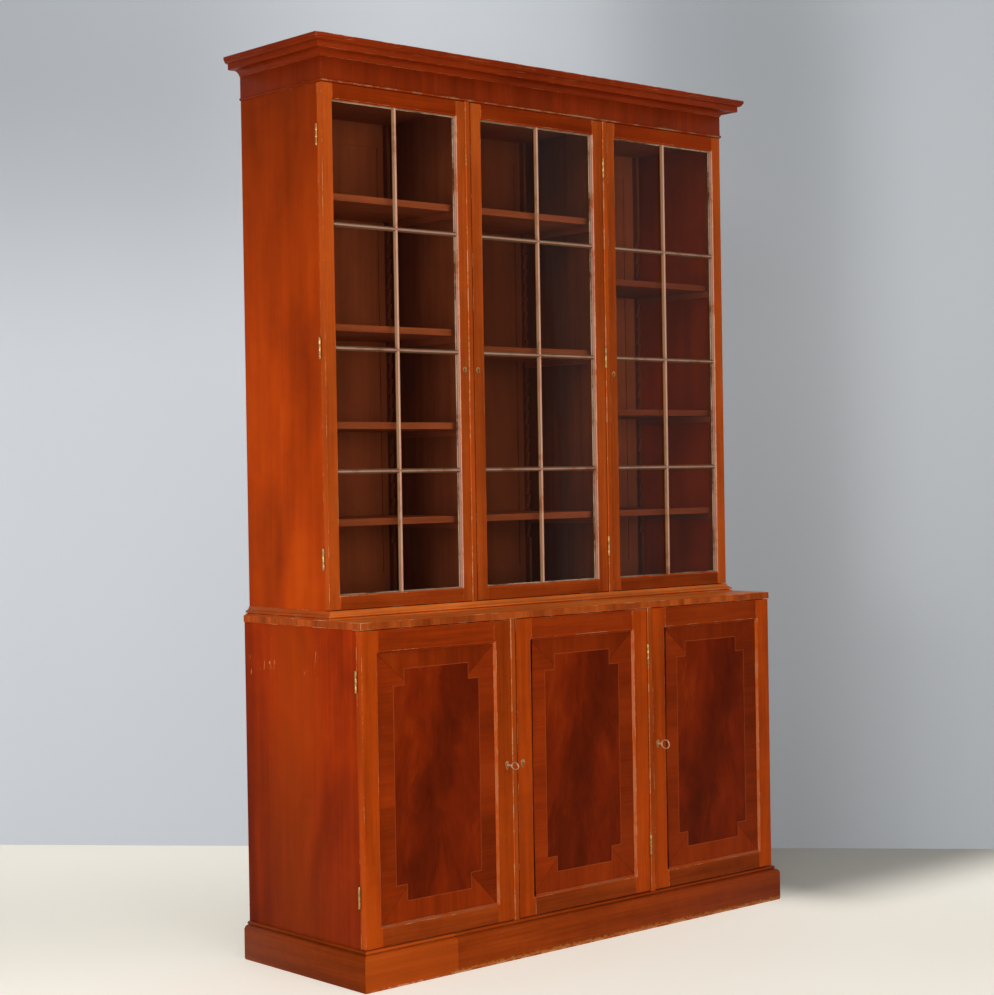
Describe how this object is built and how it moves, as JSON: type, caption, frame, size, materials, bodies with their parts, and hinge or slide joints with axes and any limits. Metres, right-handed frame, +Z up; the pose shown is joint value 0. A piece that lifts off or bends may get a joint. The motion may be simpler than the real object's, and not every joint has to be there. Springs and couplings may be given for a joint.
{
  "type": "glazed bookcase on a cupboard base",
  "caption": "Tall two-stage mahogany bookcase: glazed hinged doors over adjustable shelves, on a deeper panelled cupboard base with keys, plinth and moulded cornice.",
  "frame": {"origin": "on the floor, at the centre of the bounding box in plan", "axes": "+X to the right seen from the front, +Y to the back, +Z up"},
  "size_m": [1.606, 0.552, 2.4],
  "materials": {
    "mahogany_carcase": "french polished mahogany",
    "mahogany_facing": "french polished mahogany",
    "mahogany_frame": "french polished mahogany",
    "mahogany_bar": "french polished mahogany",
    "mahogany_panel": "flame mahogany veneer, french polished",
    "interior_wood": "waxed",
    "glass": "clear",
    "brass": "aged",
    "steel_pin": "bright",
    "key_steel": "worn"
  },
  "bodies": {
    "case": {"carcase_hinge_leaves": "brass", "cornice": "mahogany_carcase", "frieze": "mahogany_carcase", "hinge_pins": "steel_pin", "lower_back": "interior_wood", "lower_bottom_board": "interior_wood", "lower_partition_left": "mahogany_facing", "lower_partition_right": "mahogany_facing", "lower_shelf_bearers": "interior_wood", "lower_shelves": "interior_wood", "lower_side_left": "mahogany_carcase", "lower_side_right": "mahogany_carcase", "lower_top_board": "mahogany_carcase", "plinth": "mahogany_carcase", "shelf_cleats": "interior_wood", "shelf_racks": "interior_wood", "upper_back": "interior_wood", "upper_bottom_board": "interior_wood", "upper_partition_left": "mahogany_facing", "upper_partition_right": "mahogany_facing", "upper_shelves": "interior_wood", "upper_side_left": "mahogany_carcase", "upper_side_right": "mahogany_carcase", "upper_top_board": "interior_wood", "waist_moulding": "mahogany_carcase"},
    "upper_door_left": {"upper_door_left_frame": "mahogany_frame", "upper_door_left_glass": "glass", "upper_door_left_glazing_bars": "mahogany_bar", "upper_door_left_hinge_leaves": "brass", "upper_door_left_lock": "brass"},
    "upper_bolt_left": {"upper_door_left_bolt": "brass"},
    "upper_door_middle": {"upper_door_middle_frame": "mahogany_frame", "upper_door_middle_glass": "glass", "upper_door_middle_glazing_bars": "mahogany_bar", "upper_door_middle_hinge_leaves": "brass", "upper_door_middle_lock": "brass"},
    "upper_bolt_middle": {"upper_door_middle_bolt": "brass"},
    "upper_door_right": {"upper_door_right_frame": "mahogany_frame", "upper_door_right_glass": "glass", "upper_door_right_glazing_bars": "mahogany_bar", "upper_door_right_hinge_leaves": "brass", "upper_door_right_lock": "brass"},
    "upper_bolt_right": {"upper_door_right_bolt": "brass"},
    "lower_door_left": {"lower_door_left_frame": "mahogany_frame", "lower_door_left_hinge_leaves": "brass", "lower_door_left_lock": "brass", "lower_door_left_panel": "mahogany_panel"},
    "lower_bolt_left": {"lower_door_left_bolt": "brass"},
    "key_left": {"key_left": "key_steel"},
    "lower_door_middle": {"lower_door_middle_frame": "mahogany_frame", "lower_door_middle_hinge_leaves": "brass", "lower_door_middle_lock": "brass", "lower_door_middle_panel": "mahogany_panel"},
    "lower_bolt_middle": {"lower_door_middle_bolt": "brass"},
    "lower_door_right": {"lower_door_right_frame": "mahogany_frame", "lower_door_right_hinge_leaves": "brass", "lower_door_right_lock": "brass", "lower_door_right_panel": "mahogany_panel"},
    "lower_bolt_right": {"lower_door_right_bolt": "brass"},
    "key_right": {"key_right": "key_steel"}
  },
  "joints": [
    {"name": "upper_door_left_hinge", "type": "hinge", "parent": "case", "child": "upper_door_left", "pos_m": [-0.7535, -0.0617, 1.6155], "axis": [0, 0, -1], "range_deg": [0, 110]},
    {"name": "upper_bolt_left_slide", "type": "slide", "parent": "upper_door_left", "child": "upper_bolt_left", "axis": [1, 0, 0], "range_m": [0, 0.008]},
    {"name": "upper_door_middle_hinge", "type": "hinge", "parent": "case", "child": "upper_door_middle", "pos_m": [0.24975, -0.083, 1.6155], "axis": [0, 0, 1], "range_deg": [0, 95]},
    {"name": "upper_bolt_middle_slide", "type": "slide", "parent": "upper_door_middle", "child": "upper_bolt_middle", "axis": [-1, 0, 0], "range_m": [0, 0.008]},
    {"name": "upper_door_right_hinge", "type": "hinge", "parent": "case", "child": "upper_door_right", "pos_m": [0.7535, -0.0617, 1.6155], "axis": [0, 0, 1], "range_deg": [0, 110]},
    {"name": "upper_bolt_right_slide", "type": "slide", "parent": "upper_door_right", "child": "upper_bolt_right", "axis": [-1, 0, 0], "range_m": [0, 0.008]},
    {"name": "lower_door_left_hinge", "type": "hinge", "parent": "case", "child": "lower_door_left", "pos_m": [-0.7705, -0.2097, 0.5005], "axis": [0, 0, -1], "range_deg": [0, 110]},
    {"name": "lower_bolt_left_slide", "type": "slide", "parent": "lower_door_left", "child": "lower_bolt_left", "axis": [1, 0, 0], "range_m": [0, 0.008]},
    {"name": "key_left_turn", "type": "hinge", "parent": "lower_door_left", "child": "key_left", "pos_m": [-0.287, -0.23, 0.515], "axis": [0, 1, 0], "range_deg": [0, 180]},
    {"name": "lower_door_middle_hinge", "type": "hinge", "parent": "case", "child": "lower_door_middle", "pos_m": [0.24975, -0.233, 0.5005], "axis": [0, 0, 1], "range_deg": [0, 95]},
    {"name": "lower_bolt_middle_slide", "type": "slide", "parent": "lower_door_middle", "child": "lower_bolt_middle", "axis": [-1, 0, 0], "range_m": [0, 0.008]},
    {"name": "lower_door_right_hinge", "type": "hinge", "parent": "case", "child": "lower_door_right", "pos_m": [0.7705, -0.2097, 0.5005], "axis": [0, 0, 1], "range_deg": [0, 110]},
    {"name": "lower_bolt_right_slide", "type": "slide", "parent": "lower_door_right", "child": "lower_bolt_right", "axis": [-1, 0, 0], "range_m": [0, 0.008]},
    {"name": "key_right_turn", "type": "hinge", "parent": "lower_door_right", "child": "key_right", "pos_m": [0.287, -0.23, 0.515], "axis": [0, -1, 0], "range_deg": [0, 180]}
  ],
  "couplings": [
    {"joint": "lower_bolt_left_slide", "follows": "key_left_turn", "m_per_rad": 0.0025465},
    {"joint": "lower_bolt_right_slide", "follows": "key_right_turn", "m_per_rad": 0.0025465}
  ]
}
